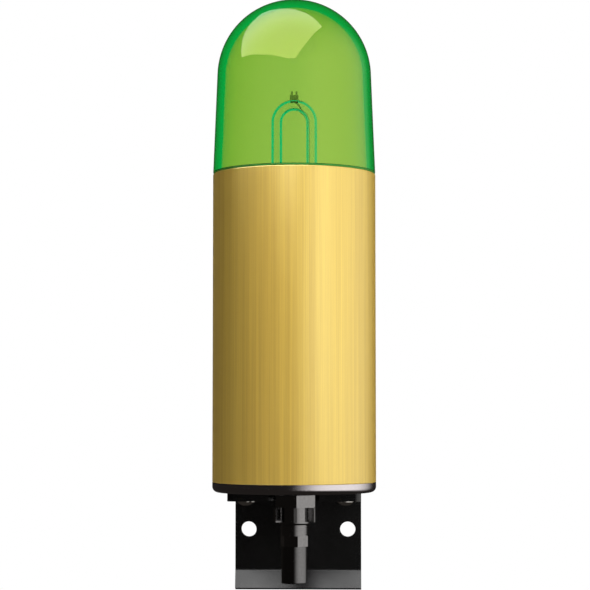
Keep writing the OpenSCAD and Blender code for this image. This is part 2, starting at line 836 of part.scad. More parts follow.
module plug_base() {
    color([0.93, 0.93, 0.90]) on_lamp() difference() {
        rod(plug_r, plug_bottom, plug_top);
        for (side = [-1, 1]) translate([side * leg_x, 0, 0]) {
            rod(flash_r + wire_gap, leg_bottom, plug_top + over);
            rod(electrode_r + wire_gap, plug_bottom, leg_bottom + over);
        }
        translate(pin_places[2]) rod(trigger_r + wire_gap, plug_bottom, plug_top + over);
        for (place = pin_places) translate(place)
            rod(pin_r + fit_gap, plug_bottom - over, pin_top + face_gap);
    }
}

module plug_pins() {
    color([0.85, 0.82, 0.70]) on_lamp() for (place = pin_places) translate(place) {
        rod(pin_r, pin_bottom + 1, pin_top);
        translate([0, 0, pin_bottom]) cylinder(r1 = pin_r / 2, r2 = pin_r, h = 1);
    }
}

module tube_socket() {
    color([0.92, 0.90, 0.84]) on_lamp() difference() {
        rod(socket_r, upper_board_top, socket_top);
        for (place = pin_places) translate(place)
            rod(contact_r + fit_gap, upper_board_top - over, socket_top + over);
    }
}

module socket_contacts() {
    color([0.83, 0.72, 0.42]) on_lamp() for (place = pin_places) translate(place)
        difference() {
            union() {
                rod(contact_r, contact_bottom, socket_top - loose_gap);
                rod(tail_r, upper_board_bottom - solder_len, contact_bottom + over);
            }
            rod(pin_r + fit_gap, contact_bottom + contact_floor_t, socket_top);
        }
}

module reflector() {
    color([0.93, 0.94, 0.95]) on_lamp() difference() {
        union() {
            rod(reflector_r, reflector_bottom, reflector_top);
            ring(reflector_r, reflector_r - reflector_lip_w, reflector_bottom - reflector_lip_h,
                reflector_top);
            around(spacer_angles, spacer_ring) rod(post_r, collar_floor, reflector_top);
        }
        rod(plug_r + loose_gap, reflector_bottom - over, reflector_top + over);
        around(spacer_angles, spacer_ring)
            rod(spacer_screw_r + fit_gap, collar_floor - over,
                collar_floor + spacer_screw_bite + loose_gap);
    }
}

// ---- Upper board ----

module upper_board() {
    board_r = bore_r - upper_board_gap;
    slot = rod_r + loose_gap;
    color([0.10, 0.36, 0.18]) on_lamp() difference() {
        rod(board_r, upper_board_bottom, upper_board_top);
        for (a = rod_angles) rotate(a) {
            translate([rod_ring, 0, 0]) rod(slot, upper_board_bottom - over, upper_board_top + over);
            translate([rod_ring, -slot, upper_board_bottom - over])
                cube([rod_r + rod_gap, 2 * slot, board_t + 2 * over]);
        }
        around(spacer_angles, spacer_ring)
            rod(spacer_screw_r + fit_gap, upper_board_bottom - over, upper_board_top + over);
        for (place = pin_places) translate(place)
            rod(tail_r + wire_gap, upper_board_bottom - over, upper_board_top + over);
        at_board_brackets() translate([0, bracket_hole_y, 0])
            rod(board_screw_r + fit_gap, upper_board_bottom - over, upper_board_top + over);
    }
}

module board_spacers() {
    color([0.80, 0.80, 0.82]) on_lamp() around(spacer_angles, spacer_ring)
        ring(spacer_d / 2, spacer_screw_r + fit_gap, upper_board_top, collar_bottom);
}

// Long screws up through the board, the spacers and the collar into the reflector's posts
module board_screws() {
    head_bottom = upper_board_bottom - spacer_screw_head_h;
    color([0.78, 0.78, 0.80]) on_lamp() around(spacer_angles, spacer_ring) difference() {
        union() {
            rod(spacer_screw_r, upper_board_bottom - over / 2, collar_floor + spacer_screw_bite);
            rod(spacer_screw_head_r, head_bottom, upper_board_bottom);
        }
        hex(key_w, head_bottom - over, head_bottom + spacer_screw_head_h / 2);
    }
}

// Bobbin wound with fine wire, under the upper board
module trigger_coil() {
    color([0.55, 0.27, 0.12]) on_lamp() translate([coil_x, coil_y, upper_board_bottom - coil_h]) {
        rod(coil_r, 0, coil_cheek_t);
        rod(coil_wound_r, 0, coil_h);
        rod(coil_r, coil_h - coil_cheek_t, coil_h);
    }
}

module trigger_capacitor() {
    color([0.75, 0.32, 0.10]) on_lamp() translate([film_x, film_y, 0])
        slab(film_w, -film_t / 2, film_t / 2, upper_board_bottom - film_h, upper_board_bottom);
}

// ---- Main board ----

module at_board_brackets()
    for (side = [-1, 1]) translate([side * board_bracket_x, 0, 0]) children();

module main_board() {
    color([0.10, 0.36, 0.18]) on_lamp() difference() {
        slab(main_board_w, board_front, board_back, main_board_bottom, main_board_top);
        at_board_brackets() translate([0, 0, bracket_hole_z])
            peg(board_screw_r + fit_gap, board_front - over, board_back + over);
    }
}

module board_brackets() {
    color([0.76, 0.76, 0.78]) on_lamp() at_board_brackets() difference() {
        union() {
            slab(board_bracket_w, board_back, board_back + board_bracket_t,
                board_bracket_bottom, upper_board_bottom);
            slab(board_bracket_w, board_back, board_back + board_bracket_reach,
                upper_board_bottom - board_bracket_t, upper_board_bottom);
        }
        translate([0, 0, bracket_hole_z])
            peg(board_screw_r + fit_gap, board_back - over, board_back + board_bracket_t + over);
        translate([0, bracket_hole_y, 0])
            rod(board_screw_r + fit_gap, upper_board_bottom - board_bracket_t - over,
                upper_board_bottom + over);
    }
}

module board_bracket_screws() {
    color([0.78, 0.78, 0.80]) on_lamp() at_board_brackets() {
        translate([0, 0, bracket_hole_z]) {
            peg(board_screw_head_r, board_front - board_screw_head_h, board_front);
            peg(board_screw_r, board_front - over,
                board_back + board_bracket_t + board_screw_end);
        }
        translate([0, bracket_hole_y, 0]) {
            rod(board_screw_head_r, upper_board_top, upper_board_top + board_screw_head_h);
            rod(board_screw_r, upper_board_bottom - board_bracket_t - board_screw_end,
                upper_board_top + over);
        }
    }
}

// Slotted feet on the cap's ring that take the board's lower edge
module board_guides() {
    guide_front = (board_front + board_back - guide_depth) / 2;
    color([0.90, 0.90, 0.86]) on_lamp() for (side = [-1, 1])
        translate([side * guide_x, 0, 0]) difference() {
            slab(guide_w, guide_front, guide_front + guide_depth, cap_ring_h,
                main_board_bottom + guide_bite);
            slab(guide_w + over, board_front - wire_gap, board_back + wire_gap,
                main_board_bottom - wire_gap, main_board_bottom + guide_bite + over);
        }
}

module storage_capacitor() {
    lead_z = parts_bottom - cap_lead_len;
    color([0.10, 0.12, 0.22]) on_lamp() translate([store_cap_x, store_cap_y, 0]) {
        rod(store_cap_r, parts_bottom, parts_bottom + store_cap_h);
        for (side = [-1, 1]) translate([side * cap_lead_spacing / 2, 0, 0]) {
            rod(cap_lead_r, lead_z, parts_bottom + over);
            translate([0, 0, lead_z])
                peg(cap_lead_r, 0, board_front - store_cap_y);
        }
    }
}

module capacitor_tie() {
    tie_z = parts_bottom + store_cap_h / 2;
    color([0.88, 0.88, 0.85]) on_lamp() translate([store_cap_x, store_cap_y, 0])
        ring(store_cap_r + tie_t, store_cap_r + fit_gap, tie_z - tie_h / 2, tie_z + tie_h / 2);
}

module transformer_core() {
    core_front = board_front - transformer_depth + core_inset;
    core_back = board_front - core_inset;
    top = parts_bottom + transformer_h;
    color([0.30, 0.31, 0.33]) on_lamp() translate([transformer_x, 0, 0]) difference() {
        slab(transformer_w, core_front, core_back, parts_bottom, top);
        for (side = [-1, 1]) translate([side * (core_mid_w + core_window) / 2, 0, 0])
            slab(core_window, core_front - over, core_back + over, parts_bottom + core_bar,
                top - core_bar);
    }
}

module transformer_winding() {
    hole_w = core_mid_w + 2 * wire_gap;
    core_front = board_front - transformer_depth + core_inset;
    top = parts_bottom + transformer_h - core_bar - wire_gap;
    color([0.80, 0.66, 0.25]) on_lamp() translate([transformer_x, 0, 0]) difference() {
        slab(hole_w + 2 * core_window - 4 * wire_gap, board_front - transformer_depth,
            board_front, parts_bottom + core_bar + wire_gap, top);
        slab(hole_w, core_front - wire_gap, board_front - core_inset + wire_gap,
            parts_bottom, top + over);
    }
}

module bridge_rectifier() {
    color([0.08, 0.08, 0.09]) on_lamp() translate([transformer_x, 0, 0]) difference() {
        slab(rectifier_w, board_front - rectifier_t, board_front, rectifier_top - rectifier_h,
            rectifier_top);
        translate([2 * dimple_r - rectifier_w / 2, 0, rectifier_top - 2 * dimple_r])
            peg(dimple_r, board_front - rectifier_t - over,
                board_front - rectifier_t + dimple_depth);
    }
}

module heat_sink() {
    base_front = board_back + heat_sink_gap;
    base_back = base_front + heat_sink_base;
    top = heat_sink_bottom + heat_sink_h;
    color([0.72, 0.73, 0.75]) on_lamp() difference() {
        union() {
            slab(heat_sink_w, base_front, base_back, heat_sink_bottom, top);
            for (i = [-3:3]) translate([i * fin_spacing, 0, 0])
                slab(fin_t, base_back - over, base_back + fin_h, heat_sink_bottom, top);
            for (side = [-1, 1])
                translate([side * (heat_sink_w - heat_sink_foot_w) / 2, 0, 0])
                    slab(heat_sink_foot_w, board_back, base_front + over, heat_sink_bottom,
                        heat_sink_bottom + heat_sink_foot_h);
        }
        translate([transistor_x, 0, tab_hole_z])
            peg(tab_hole_r + fit_gap, base_front - over, base_back + fin_h + over);
    }
}

module power_transistor() {
    tab_back = board_back + heat_sink_gap;
    tab_front = tab_back - tab_t_metal;
    leg_bottom_z = transistor_bottom - leg_len;
    color([0.12, 0.12, 0.13]) on_lamp() translate([transistor_x, 0, 0]) difference() {
        union() {
            slab(transistor_w, board_back + transistor_lift, tab_back, transistor_bottom,
                transistor_bottom + transistor_h);
            slab(transistor_w, tab_front, tab_back, transistor_bottom, transistor_bottom + tab_h);
            for (i = [-1:1]) translate([i * leg_pitch, 0, 0]) {
                slab(leg_w, leg_front, leg_front + leg_t, leg_bottom_z, transistor_bottom + over);
                slab(leg_w, board_back, leg_front + leg_t, leg_bottom_z, leg_bottom_z + leg_t);
            }
        }
        translate([0, 0, tab_hole_z])
            peg(tab_hole_r + wire_gap, tab_front - over, tab_back + over);
    }
}

module transistor_screw() {
    tab_front = board_back + heat_sink_gap - tab_t_metal;
    color([0.78, 0.78, 0.80]) on_lamp() translate([transistor_x, 0, tab_hole_z]) {
        peg(tab_screw_head_r, tab_front - tab_screw_head_h, tab_front);
        peg(tab_hole_r, tab_front - over, tab_front + tab_t_metal + heat_sink_base + 2 * over);
    }
}

module resistors() {
    lead_x = resistor_len / 2 + resistor_lead_len;
    y = board_back + resistor_lift;
    color([0.72, 0.62, 0.42]) on_lamp() for (i = [0:resistor_count - 1])
        translate([resistor_x, 0, resistor_bottom + i * resistor_pitch]) {
            translate([-resistor_len / 2, y, 0]) rotate([0, 90, 0])
                cylinder(r = resistor_r, h = resistor_len);
            translate([-lead_x, y, 0]) rotate([0, 90, 0])
                cylinder(r = resistor_lead_r, h = 2 * lead_x);
            for (side = [-1, 1]) translate([side * (lead_x - resistor_lead_r), 0, 0])
                peg(resistor_lead_r, board_back, y);
        }
}

module fuse() {
    color([0.85, 0.86, 0.86]) on_lamp() translate([-fuse_len / 2, fuse_y, fuse_z])
        rotate([0, 90, 0]) {
            rod(fuse_r - fuse_cap_t, 0, fuse_len);
            rod(fuse_r, 0, fuse_cap_len);
            rod(fuse_r, fuse_len - fuse_cap_len, fuse_len);
        }
}

module fuse_clips() {
    color([0.80, 0.78, 0.70]) on_lamp() for (side = [-1, 1])
        translate([side * fuse_clip_x, 0, 0]) difference() {
            slab(fuse_clip_w, fuse_y - fuse_r + fuse_clip_wall, board_front,
                fuse_z - fuse_r - fuse_clip_wall, fuse_z + fuse_r + fuse_clip_wall);
            translate([-fuse_clip_w, fuse_y, fuse_z]) rotate([0, 90, 0])
                cylinder(r = fuse_r + fit_gap, h = 2 * fuse_clip_w);
            slab(fuse_clip_w + over, fuse_y - fuse_r - over, fuse_y - fuse_clip_open,
                fuse_z - fuse_clip_mouth / 2, fuse_z + fuse_clip_mouth / 2);
        }
}

module terminal_block() {
    color([0.20, 0.50, 0.25]) on_lamp() difference() {
        slab(terminal_w, board_front - terminal_depth, board_front, terminal_bottom,
            terminal_bottom + terminal_h);
        for (side = [-1, 1]) translate([side * terminal_pole_x, 0, 0]) {
            translate([0, terminal_y, 0])
                rod(core_r + wire_gap, terminal_bottom - over, terminal_bottom + terminal_hole_h);
            translate([0, 0, terminal_screw_z])
                peg(terminal_screw_r + wire_gap, board_front - terminal_depth - over, terminal_y);
        }
    }
}

module terminal_screws() {
    front = board_front - terminal_depth + terminal_screw_sink;
    color([0.80, 0.80, 0.82]) on_lamp() for (side = [-1, 1])
        translate([side * terminal_pole_x, 0, terminal_screw_z]) difference() {
            peg(terminal_screw_r, front, terminal_y - core_r - wire_gap);
            slab(2 * terminal_screw_r + over, front - over, front + slot_depth, -slot_w / 2,
                slot_w / 2);
        }
}

module link_wires() {
    color([0.75, 0.10, 0.08]) on_lamp() for (x = link_places) {
        start = [x, board_front, main_board_top - link_bow];
        end = [x, board_front - link_bow, upper_board_bottom];
        wire(curve(start, start - [0, link_bow, 0], end - [0, 0, link_bow], end), link_r);
    }
}

// ---- Earth connection ----

module earth_screw() {
    color([0.85, 0.75, 0.42]) on_lamp() translate([earth_x, earth_y, 0]) difference() {
        union() {
            rod(earth_screw_r, tag_t + over - earth_screw_len, tag_t + over);
            rod(earth_head_r, tag_t, tag_t + earth_head_h);
        }
        hex(key_w, tag_t + earth_head_h / 2, tag_t + earth_head_h + over);
    }
}

module earth_tag() {
    color([0.82, 0.80, 0.74]) on_lamp() difference() {
        union() {
            translate([earth_x, earth_y, 0]) rod(tag_r, 0, tag_t);
            translate([earth_x, 0, 0]) slab(tag_r, earth_y, barrel_y, 0, tag_t);
            translate([earth_x, barrel_y, 0]) rod(barrel_r, 0, barrel_h);
        }
        translate([earth_x, earth_y, 0]) rod(earth_screw_r + wire_gap, -over, tag_t + over);
        translate([earth_x, barrel_y, 0]) rod(core_r + fit_gap, barrel_floor_t, barrel_h + over);
    }
}

// ---- Cable gland and lead ----

module gland_seal() {
    color([0.10, 0.10, 0.10]) on_lamp()
        ring(gland_af / 2 + loose_gap, gland_r + fit_gap, gland_seal_bottom, flange_top);
}

module gland_body() {
    color([0.07, 0.07, 0.075]) on_lamp() difference() {
        union() {
            hex(gland_af, gland_hex_bottom, gland_seal_bottom, gland_turn);
            rod(gland_r, gland_seal_bottom - over, gland_stem_top);
        }
        rod(gland_bore_r, gland_hex_bottom - over, gland_stem_top + over);
        rod(gland_pocket_r, gland_hex_bottom - over, gland_pocket_top);
    }
}

module gland_locknut() {
    color([0.08, 0.08, 0.085]) on_lamp() difference() {
        hex(locknut_af, 0, locknut_h);
        rod(gland_r + fit_gap, -over, locknut_h + over);
    }
}

module gland_insert() {
    color([0.14, 0.14, 0.14]) on_lamp()
        ring(gland_pocket_r - fit_gap, lead_d / 2 + fit_gap, seal_insert_bottom,
            seal_insert_bottom + seal_insert_h);
}

module slip_ring() {
    color([0.82, 0.82, 0.78]) on_lamp()
        ring(gland_nut_thread_d / 2, gland_bore_r, slip_ring_top - slip_ring_t, slip_ring_top);
}

// Nut with six ribs, a ringed neck under it and the thread that takes the clamp nut
module gland_nut() {
    rib_reach = gland_af / 2 / cos(30);
    rib_foot = gland_nut_d / 4;
    ring_pitch = tail_h / ring_count;
    color([0.07, 0.07, 0.075]) on_lamp() difference() {
        union() {
            rod(gland_nut_thread_d / 2, gland_nut_top - over, nut_thread_top);
            rounded_disc(gland_nut_d / 2, gland_nut_bottom, gland_nut_top, nut_round);
            for (a = rib_angles) rotate(a + 30 + nut_turn)
                translate([rib_foot, -rib_w / 2, gland_nut_top - rib_drop - rib_len])
                    cube([rib_reach - rib_foot, rib_w, rib_len]);
            rod(tail_d / 2 - ring_depth, tail_bottom, gland_nut_bottom + over);
            for (i = [0:ring_count - 1])
                rod(tail_d / 2, tail_bottom + i * ring_pitch,
                    tail_bottom + (i + ring_share) * ring_pitch);
            rod(tail_thread_d / 2, tail_end, tail_bottom + over);
        }
        rod(gland_bore_r, tail_end - over, nut_thread_top + over);
    }
}

module clamp_bush() {
    color([0.85, 0.85, 0.80]) on_lamp()
        ring(tail_thread_d / 2, lead_d / 2 + fit_gap, clamp_bottom + clamp_lip + face_gap,
            clamp_bottom + clamp_lip + face_gap + bush_h);
}

module clamp_nut() {
    color([0.07, 0.07, 0.075]) on_lamp() difference() {
        hex(clamp_af, clamp_bottom, clamp_top, clamp_turn);
        rod(tail_thread_d / 2 + thread_gap, clamp_bottom + clamp_lip, clamp_top + over);
        rod(gland_bore_r, clamp_bottom - over, clamp_top + over);
    }
}

module lead_sleeve() {
    color([0.13, 0.13, 0.13]) on_lamp() difference() {
        rounded_disc(sleeve_d / 2, sleeve_bottom, sleeve_top, sleeve_round);
        rod(lead_d / 2 + fit_gap, sleeve_bottom - over, sleeve_top + over);
    }
}

module lead_sheath() {
    color([0.10, 0.10, 0.10]) on_lamp()
        ring(lead_d / 2, core_ring_r + core_r + fit_gap, lead_end, lead_inner_top);
}

// Place of a core inside the lead
function core_place(a, z) = [core_ring_r * cos(a), core_ring_r * sin(a), z];

// Core that runs up inside the lead and on into the terminal block
module terminal_core(a, side) {
    exit = core_place(a, lead_inner_top);
    entry = [side * terminal_pole_x, terminal_y, terminal_bottom];
    rise = (terminal_bottom - lead_inner_top) / 2;
    wire(concat([core_place(a, lead_end)],
        curve(exit, exit + [0, 0, rise], entry - [0, 0, rise], entry),
        [entry + [0, 0, core_bite]]), core_r, 12);
}

module live_core() {
    color([0.42, 0.22, 0.12]) on_lamp() terminal_core(live_angle, -1);
}

module neutral_core() {
    color([0.12, 0.25, 0.60]) on_lamp() terminal_core(neutral_angle, 1);
}

module earth_core() {
    exit = core_place(earth_angle, lead_inner_top);
    entry = [earth_x, barrel_y, barrel_h];
    arch = [0, 0, lead_inner_top];
    color([0.25, 0.55, 0.15]) on_lamp()
        wire(concat([core_place(earth_angle, lead_end)],
            curve(exit, exit + arch, entry + arch, entry, 14),
            [entry - [0, 0, barrel_h - 2 * barrel_floor_t]]), core_r, 12);
}

dome_lens();
dome_gasket();
dome_o_ring();
lens_collar();
housing_tube();
base_cap();
base_o_ring();
tie_rods();
tie_rod_screws();
bracket();
bracket_screws();
bracket_washers();
reflector();
flash_tube();
electrodes();
trigger_wire();
plug_base();
plug_pins();
tube_socket();
socket_contacts();
upper_board();
board_spacers();
board_screws();
trigger_coil();
trigger_capacitor();
main_board();
board_brackets();
board_bracket_screws();
board_guides();
storage_capacitor();
capacitor_tie();
transformer_core();
transformer_winding();
heat_sink();
power_transistor();
transistor_screw();
bridge_rectifier();
resistors();
fuse();
fuse_clips();
terminal_block();
terminal_screws();
earth_screw();
earth_tag();
gland_seal();
gland_body();
gland_locknut();
gland_insert();
slip_ring();
gland_nut();
clamp_bush();
clamp_nut();
lead_sleeve();
lead_sheath();
live_core();
neutral_core();
earth_core();
link_wires();
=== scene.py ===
# Looks for a wall-mounted flashing signal light: clear green dome, gold brushed tube, black base.
# Lengths are metres. New shapes are grids of points worked out with numpy.
import json
import math

import bmesh
import bpy
import numpy as np
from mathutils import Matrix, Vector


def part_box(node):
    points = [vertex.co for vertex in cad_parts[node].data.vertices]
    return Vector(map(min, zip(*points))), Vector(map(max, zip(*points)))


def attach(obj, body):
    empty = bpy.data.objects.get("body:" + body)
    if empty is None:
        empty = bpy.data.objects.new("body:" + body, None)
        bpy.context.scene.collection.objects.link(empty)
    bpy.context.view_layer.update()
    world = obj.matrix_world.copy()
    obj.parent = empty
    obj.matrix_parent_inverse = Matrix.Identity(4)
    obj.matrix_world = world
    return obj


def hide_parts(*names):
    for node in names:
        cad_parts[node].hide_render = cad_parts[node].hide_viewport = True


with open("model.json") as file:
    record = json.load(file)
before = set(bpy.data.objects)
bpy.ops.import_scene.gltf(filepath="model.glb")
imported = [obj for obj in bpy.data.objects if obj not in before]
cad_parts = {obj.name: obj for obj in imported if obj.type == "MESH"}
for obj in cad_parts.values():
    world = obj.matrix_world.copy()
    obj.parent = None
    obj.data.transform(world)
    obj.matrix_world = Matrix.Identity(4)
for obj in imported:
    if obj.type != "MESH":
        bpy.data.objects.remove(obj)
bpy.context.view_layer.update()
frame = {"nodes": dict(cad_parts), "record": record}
mm = 0.001
scene = bpy.context.scene
print("frame loaded:", len(frame["nodes"]), "nodes")


def corners(node):
    low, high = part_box(node)
    return np.array(low), np.array(high)


# The lamp's axis, and the heights that the other pieces share, come from the frame
tubeLow, tubeHigh = corners("housing_tube")
lamp = {
    "x": (tubeLow[0] + tubeHigh[0]) / 2,
    "y": (tubeLow[1] + tubeHigh[1]) / 2,
    "foot": tubeLow[2],                       # lower edge of the gold tube
    "rim": tubeHigh[2],                       # upper edge of the gold tube
    "radius": (tubeHigh[0] - tubeLow[0]) / 2,
}


cameraPlan = {
    "distance": 0.806,        # from the lamp's axis
    "eyeHeight": 0.031,       # above the tube's lower edge
    "pitch": 3.4874,          # degrees upwards
    "side": 2.0,              # degrees to the right of the object's front
    "aimRight": 0.0244,       # degrees, sets the lamp a little left of the middle
    "lens": 114.52,
    "sensor": 36.0,
}


def setCamera(plan):
    turn = math.radians(plan["side"])
    data = bpy.data.cameras.new("camera")
    data.lens = plan["lens"]
    data.sensor_width = plan["sensor"]
    data.clip_start = 0.01
    data.clip_end = 60
    camera = bpy.data.objects.new("camera", data)
    camera.location = (
        lamp["x"] + plan["distance"] * math.sin(turn),
        lamp["y"] - plan["distance"] * math.cos(turn),
        lamp["foot"] + plan["eyeHeight"],
    )
    camera.rotation_euler = (
        math.radians(90 + plan["pitch"]), 0, math.radians(plan["side"] - plan["aimRight"]))
    scene.collection.objects.link(camera)
    scene.camera = camera


setCamera(cameraPlan)


def addNode(tree, kind, inputs=None, **settings):
    made = tree.nodes.new(kind)
    for key, value in settings.items():
        setattr(made, key, value)
    for key, value in (inputs or {}).items():
        socket = made.inputs[key]
        if isinstance(value, bpy.types.NodeSocket):
            tree.links.new(value, socket)
        else:
            socket.default_value = value
    return made


def newGroup(name, ins, outs):
    tree = bpy.data.node_groups.new(name, "ShaderNodeTree")
    for label, kind, value in ins:
        socket = tree.interface.new_socket(label, in_out="INPUT", socket_type="NodeSocket" + kind)
        if value is not None:
            socket.default_value = value
    for label, kind in outs:
        tree.interface.new_socket(label, in_out="OUTPUT", socket_type="NodeSocket" + kind)
    return tree, addNode(tree, "NodeGroupInput"), addNode(tree, "NodeGroupOutput")


# Fine grain of a moulded, coated or cast surface: two sizes of noise, as a tone and a height
def makeSurfaceGrain():
    tree, given, result = newGroup(
        "surfaceGrain",
        [("Vector", "Vector", None), ("Scale", "Float", 900.0), ("Coarse Share", "Float", 0.35)],
        [("Tone", "Float"), ("Height", "Float")])
    fine = addNode(tree, "ShaderNodeTexNoise", {
        "Vector": given.outputs["Vector"], "Scale": given.outputs["Scale"], "Detail": 4.0})
    wide = addNode(tree, "ShaderNodeMath", {0: given.outputs["Scale"], 1: 0.06}, operation="MULTIPLY")
    coarse = addNode(tree, "ShaderNodeTexNoise", {
        "Vector": given.outputs["Vector"], "Scale": wide.outputs[0], "Detail": 3.0})
    mixed = addNode(tree, "ShaderNodeMix", {
        "Factor": given.outputs["Coarse Share"], 2: fine.outputs["Fac"], 3: coarse.outputs["Fac"]})
    tree.links.new(mixed.outputs[0], result.inputs["Tone"])
    tree.links.new(fine.outputs["Fac"], result.inputs["Height"])
    return tree


# Brushing along the object's height: noise drawn out along Z, so that streaks stand upright
def makeBrushedGrain():
    tree, given, result = newGroup(
        "brushedGrain",
        [("Vector", "Vector", None), ("Across", "Float", 2400.0), ("Along", "Float", 12.0)],
        [("Tone", "Float"), ("Height", "Float")])
    stretched = addNode(tree, "ShaderNodeCombineXYZ", {
        0: given.outputs["Across"], 1: given.outputs["Across"], 2: given.outputs["Along"]})
    drawn = addNode(tree, "ShaderNodeVectorMath", {
        0: given.outputs["Vector"], 1: stretched.outputs[0]}, operation="MULTIPLY")
    hair = addNode(tree, "ShaderNodeTexNoise", {
        "Vector": drawn.outputs[0], "Scale": 1.0, "Detail": 6.0, "Roughness": 0.65})
    band = addNode(tree, "ShaderNodeTexNoise", {
        "Vector": drawn.outputs[0], "Scale": 0.16, "Detail": 2.0})
    tone = addNode(tree, "ShaderNodeMix", {
        "Factor": 0.4, 2: hair.outputs["Fac"], 3: band.outputs["Fac"]})
    tree.links.new(tone.outputs[0], result.inputs["Tone"])
    tree.links.new(hair.outputs["Fac"], result.inputs["Height"])
    return tree


# Handling marks: wide soft patches that change how sharp the gloss is
def makeHandling():
    tree, given, result = newGroup(
        "handling",
        [("Vector", "Vector", None), ("Scale", "Float", 60.0), ("Low", "Float", 0.3),
         ("High", "Float", 0.4)],
        [("Roughness", "Float")])
    patch = addNode(tree, "ShaderNodeTexNoise", {
        "Vector": given.outputs["Vector"], "Scale": given.outputs["Scale"], "Detail": 5.0})
    spread = addNode(tree, "ShaderNodeMapRange", {
        "Value": patch.outputs["Fac"], "From Min": 0.3, "From Max": 0.7,
        "To Min": given.outputs["Low"], "To Max": given.outputs["High"]})
    tree.links.new(spread.outputs[0], result.inputs["Roughness"])
    return tree


grainGroup = makeSurfaceGrain()
brushGroup = makeBrushedGrain()
handlingGroup = makeHandling()


def useGroup(tree, group, inputs):
    made = tree.nodes.new("ShaderNodeGroup")
    made.node_tree = group
    for key, value in inputs.items():
        if isinstance(value, bpy.types.NodeSocket):
            tree.links.new(value, made.inputs[key])
        else:
            made.inputs[key].default_value = value
    return made


def emptyMaterial(name):
    material = bpy.data.materials.new(name)
    material.use_nodes = True
    material.node_tree.nodes.clear()
    return material, material.node_tree


# A finish from two tones of one colour, a grain and handling marks. fixed sets shader sockets outright.
def finish(name, dark, light, roughness, grain=900.0, depth=0.00002, brushed=None, fixed=None):
    material, tree = emptyMaterial(name)
    place = addNode(tree, "ShaderNodeTexCoord").outputs["Object"]
    if brushed:
        surface = useGroup(tree, brushGroup, {"Vector": place, **brushed})
    else:
        surface = useGroup(tree, grainGroup, {"Vector": place, "Scale": grain})
    tone = addNode(tree, "ShaderNodeMapRange", {
        "Value": surface.outputs["Tone"], "From Min": 0.32, "From Max": 0.68})
    colour = addNode(tree, "ShaderNodeMix", {
        "Factor": tone.outputs[0], 6: (*dark, 1), 7: (*light, 1)}, data_type="RGBA")
    marks = useGroup(tree, handlingGroup, {
        "Vector": place, "Low": roughness[0], "High": roughness[1]})
    bump = addNode(tree, "ShaderNodeBump", {
        "Height": surface.outputs["Height"], "Distance": depth, "Strength": 0.6})
    shader = addNode(tree, "ShaderNodeBsdfPrincipled", {
        "Base Color": colour.outputs[2], "Roughness": marks.outputs["Roughness"],
        "Normal": bump.outputs[0], **(fixed or {})})
    addNode(tree, "ShaderNodeOutputMaterial", {"Surface": shader.outputs[0]})
    return material


# Clear moulded plastic: green to the eye through its depth, with faint moulding ripple on its skin
def clearPlastic(name, skin, density, depthColour, ripple, roughness, ior=1.49):
    material, tree = emptyMaterial(name)
    place = addNode(tree, "ShaderNodeTexCoord").outputs["Object"]
    surface = useGroup(tree, grainGroup, {"Vector": place, "Scale": 90.0, "Coarse Share": 0.8})
    marks = useGroup(tree, handlingGroup, {
        "Vector": place, "Scale": 45.0, "Low": roughness[0], "High": roughness[1]})
    bump = addNode(tree, "ShaderNodeBump", {
        "Height": surface.outputs["Tone"], "Distance": ripple, "Strength": 0.3})
    shader = addNode(tree, "ShaderNodeBsdfPrincipled", {
        "Base Color": (*skin, 1), "Roughness": marks.outputs["Roughness"], "IOR": ior,
        "Specular Tint": (1.0, 0.9, 0.3, 1), "Transmission Weight": 1.0,
        "Normal": bump.outputs[0]})
    depth = addNode(tree, "ShaderNodeVolumeAbsorption", {
        "Color": (*depthColour, 1), "Density": density})
    addNode(tree, "ShaderNodeOutputMaterial", {
        "Surface": shader.outputs[0], "Volume": depth.outputs[0]})
    return material


def steady(**sockets):
    return {key.replace("_", " "): value for key, value in sockets.items()}


